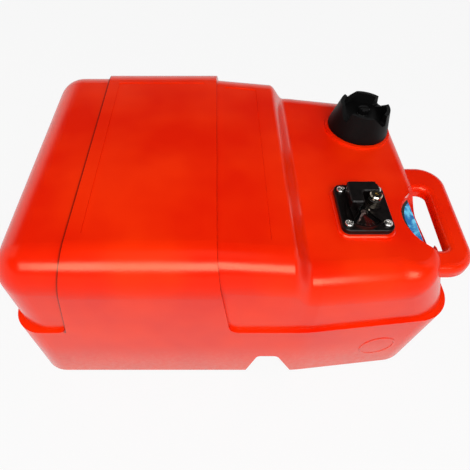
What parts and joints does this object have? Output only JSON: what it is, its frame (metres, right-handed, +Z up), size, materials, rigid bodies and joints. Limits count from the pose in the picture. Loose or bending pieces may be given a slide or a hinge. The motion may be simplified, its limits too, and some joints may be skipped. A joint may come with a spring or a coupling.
{
  "type": "outboard fuel tank",
  "caption": "Low portable fuel tank with a carry handle, screw filler cap with air vent, bolted pick-up head with a float gauge and a hose outlet.",
  "frame": {"origin": "centre of the bounding box on the floor under the tank", "axes": "+X along the tank towards the carry handle, +Y from front to back, +Z up"},
  "size_m": [0.4934, 0.35, 0.219],
  "materials": {
    "red_plastic": "semi-gloss moulded polyethylene",
    "black_plastic": "satin moulded nylon",
    "white_plastic": "moulded acetal",
    "clear_plastic": "clear acrylic",
    "label_blue": "printed film",
    "foam": "closed-cell nitrile foam",
    "black_rubber": "nitrile rubber",
    "steel": "bright stainless steel",
    "brass": "machined brass"
  },
  "bodies": {
    "tank": {"tank_body": "red_plastic", "recess_label": "label_blue", "screw_inserts": "brass", "head_housing": "black_plastic", "head_gasket": "black_rubber", "head_screws": "steel", "gauge_lens": "clear_plastic", "gauge_dial": "white_plastic", "guide_foot": "white_plastic", "pickup_tube": "steel", "pickup_strainer": "white_plastic", "outlet_nipple": "brass", "outlet_o_ring": "black_rubber", "valve_spring": "steel"},
    "cap_seal": {"cap_gasket": "black_rubber", "seal_disc": "white_plastic"},
    "cap": {"filler_cap": "black_plastic"},
    "vent_seal": {"vent_washer": "black_rubber"},
    "vent": {"vent_screw": "black_plastic"},
    "float": {"fuel_float": "foam", "float_guide": "white_plastic"},
    "pointer": {"gauge_pointer": "white_plastic", "twist_strip": "steel"},
    "valve": {"valve_pin": "brass"}
  },
  "joints": [
    {"name": "cap_lift", "type": "slide", "parent": "tank", "child": "cap_seal", "axis": [0.0698, 0, 0.9976], "range_m": [0, 0.0125]},
    {"name": "cap_turn", "type": "hinge", "parent": "cap_seal", "child": "cap", "pos_m": [0.15913, 0.082, 0.20114], "axis": [0.0698, 0, 0.9976], "range_deg": [0, 900.5]},
    {"name": "vent_lift", "type": "slide", "parent": "cap", "child": "vent_seal", "axis": [0.0698, 0, 0.9976], "range_m": [0, 0.0025]},
    {"name": "vent_turn", "type": "hinge", "parent": "vent_seal", "child": "vent", "pos_m": [0.15913, 0.082, 0.20114], "axis": [0.0698, 0, 0.9976], "range_deg": [0, 720.5]},
    {"name": "float_slide", "type": "slide", "parent": "tank", "child": "float", "axis": [0, 0, 1], "range_m": [0, 0.112]},
    {"name": "gauge_spin", "type": "hinge", "parent": "tank", "child": "pointer", "pos_m": [0.1277, -0.079, 0.194], "axis": [0, 0, 1], "range_deg": [0, 62.2]},
    {"name": "valve_press", "type": "slide", "parent": "tank", "child": "valve", "axis": [0, 0, -1], "range_m": [0, 0.003], "stiffness_N_per_m": 600, "springref_m": -0.003, "deforming": ["valve_spring"]}
  ],
  "couplings": [
    {"joint": "cap_turn", "follows": "cap_lift", "rad_per_m": 1256.6},
    {"joint": "vent_turn", "follows": "vent_lift", "rad_per_m": 5026.5},
    {"joint": "gauge_spin", "follows": "float_slide", "rad_per_m": 9.6616}
  ]
}
